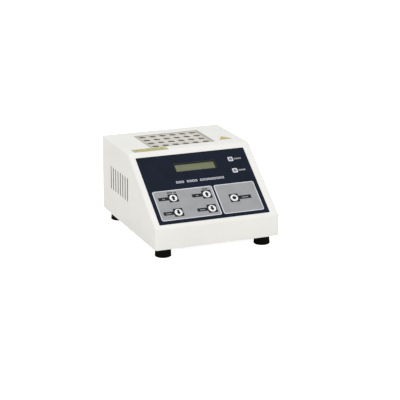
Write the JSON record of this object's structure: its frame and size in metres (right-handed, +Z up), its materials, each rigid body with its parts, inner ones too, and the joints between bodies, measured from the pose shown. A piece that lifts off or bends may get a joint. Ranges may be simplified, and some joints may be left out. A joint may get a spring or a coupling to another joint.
{
  "type": "dry block heater",
  "caption": "Wedge-shaped bench heater with a drilled aluminium tube block in its flat top and a keypad with a small display on its slope.",
  "frame": {"origin": "on the bench under the middle of the enclosure", "axes": "+Z up, the keypad slope faces -Y, +X to the right seen from the front"},
  "size_m": [0.204, 0.24, 0.1364],
  "materials": {
    "white_coat": "satin powder coat",
    "plated_sheet": "zinc plated",
    "bay_sheet": "matt, heat resistant",
    "black_rubber": "matt",
    "screw_steel": "nickel plated",
    "navy_film": "satin polyester film",
    "display_black": "matt black",
    "display_green": "glossy",
    "board_green": "solder mask",
    "brass": "plain",
    "grey_cable": "matt",
    "key_white": "satin",
    "lamp_lens": "frosted",
    "block_aluminium": "machined, bead blasted",
    "heater_silicone": "matt",
    "ceramic": "unglazed",
    "mineral_wool": "fibrous",
    "black_plastic": "moulded",
    "core_steel": "laminated",
    "winding_tape": "taped copper",
    "white_plastic": "moulded",
    "wire_brown": "matt",
    "wire_red": "matt",
    "label_yellow": "satin film",
    "label_ochre": "satin film",
    "fuse_glass": "clear with nickel ends"
  },
  "bodies": {
    "enclosure": {"cover": "white_coat", "base_plate": "plated_sheet", "rear_panel": "white_coat", "foot_front_left": "black_rubber", "foot_front_right": "black_rubber", "foot_rear_left": "black_rubber", "foot_rear_right": "black_rubber", "foot_screws": "screw_steel", "foot_nuts": "screw_steel", "base_screws": "screw_steel", "panel_screws": "screw_steel", "keypad_overlay": "navy_film", "display_board": "board_green", "display_bezel": "display_black", "display_glass": "display_green", "control_board": "board_green", "board_spacers": "brass", "board_screws": "screw_steel", "ribbon_cable": "grey_cable", "switch_bodies": "black_plastic", "power_lamp": "lamp_lens", "heater_lamp": "lamp_lens", "block_tray": "bay_sheet", "heater_plate": "block_aluminium", "heater_mat": "heater_silicone", "clamp_plate": "plated_sheet", "heater_spacers": "ceramic", "clamp_screws": "screw_steel", "temperature_sensor": "screw_steel", "thermal_cutout": "black_plastic", "insulation_jacket": "mineral_wool", "tray_posts": "screw_steel", "tray_screws": "screw_steel", "mains_inlet": "black_plastic", "inlet_pins": "screw_steel", "switch_housing": "black_plastic", "fuse_holder": "black_plastic", "transformer_core": "core_steel", "transformer_winding": "winding_tape", "power_board": "board_green", "power_board_screws": "screw_steel", "solid_state_relay": "white_plastic", "mains_wires": "wire_brown", "heater_wires": "wire_red", "caution_label": "label_yellow", "hot_surface_label": "label_ochre"},
    "key_temp_up_button": {"key_temp_up": "key_white", "plunger_temp_up": "black_plastic"},
    "key_temp_down_button": {"key_temp_down": "key_white", "plunger_temp_down": "black_plastic"},
    "key_time_up_button": {"key_time_up": "key_white", "plunger_time_up": "black_plastic"},
    "key_time_down_button": {"key_time_down": "key_white", "plunger_time_down": "black_plastic"},
    "key_start_button": {"key_start": "key_white", "plunger_start": "black_plastic"},
    "tube_block": {"heating_block": "block_aluminium"},
    "rocker": {"switch_rocker": "black_plastic"},
    "fuse": {"fuse_link": "fuse_glass"},
    "fuse_knob": {"fuse_cap": "black_plastic"}
  },
  "joints": [
    {"name": "key_temp_up_press", "type": "slide", "parent": "enclosure", "child": "key_temp_up_button", "axis": [0, 0.5978, -0.8016], "range_m": [0, 0.0005]},
    {"name": "key_temp_down_press", "type": "slide", "parent": "enclosure", "child": "key_temp_down_button", "axis": [0, 0.5978, -0.8016], "range_m": [0, 0.0005]},
    {"name": "key_time_up_press", "type": "slide", "parent": "enclosure", "child": "key_time_up_button", "axis": [0, 0.5978, -0.8016], "range_m": [0, 0.0005]},
    {"name": "key_time_down_press", "type": "slide", "parent": "enclosure", "child": "key_time_down_button", "axis": [0, 0.5978, -0.8016], "range_m": [0, 0.0005]},
    {"name": "key_start_press", "type": "slide", "parent": "enclosure", "child": "key_start_button", "axis": [0, 0.5978, -0.8016], "range_m": [0, 0.0005]},
    {"name": "block_lift", "type": "slide", "parent": "enclosure", "child": "tube_block", "axis": [0, 0, 1], "range_m": [0, 0.06]},
    {"name": "power_switch", "type": "hinge", "parent": "enclosure", "child": "rocker", "pos_m": [0.02, 0.108, 0.044], "axis": [1, 0, 0], "range_deg": [0, 20]},
    {"name": "fuse_pull", "type": "slide", "parent": "enclosure", "child": "fuse", "axis": [0, 1, 0], "range_m": [0, 0.03]},
    {"name": "fuse_turn", "type": "hinge", "parent": "fuse", "child": "fuse_knob", "pos_m": [-0.012, 0.11, 0.044], "axis": [0, 1, 0], "range_deg": [0, 45]}
  ]
}
